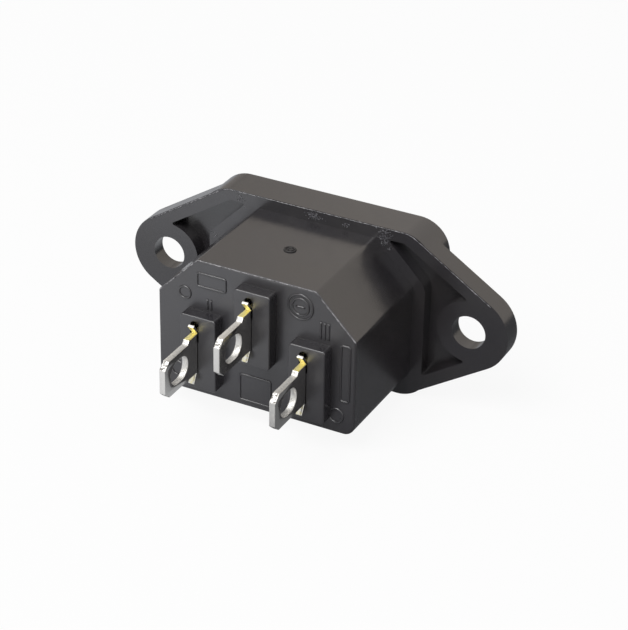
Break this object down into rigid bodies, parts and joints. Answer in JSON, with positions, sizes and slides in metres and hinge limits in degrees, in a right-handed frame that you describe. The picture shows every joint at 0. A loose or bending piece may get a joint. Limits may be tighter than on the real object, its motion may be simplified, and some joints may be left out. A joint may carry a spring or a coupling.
{
  "type": "panel inlet socket",
  "caption": "Panel inlet socket with a keyed plug recess and blade pins, solder tabs on raised pads at the rear, and a flange with a screw hole in each ear.",
  "frame": {"origin": "midway between the two screw holes, on the rear face of the flange", "axes": "+X along the line through the screw holes, +Y out of the mouth towards the plug, +Z towards the earth pin"},
  "size_m": [0.0498, 0.0286, 0.0216],
  "materials": {
    "housing_plastic": "black, semi-gloss, moulded",
    "plated_brass": "nickel plated, stamped"
  },
  "bodies": {
    "root": {"housing": "housing_plastic", "earth_contact": "plated_brass", "live_contact": "plated_brass", "neutral_contact": "plated_brass"}
  },
  "joints": []
}
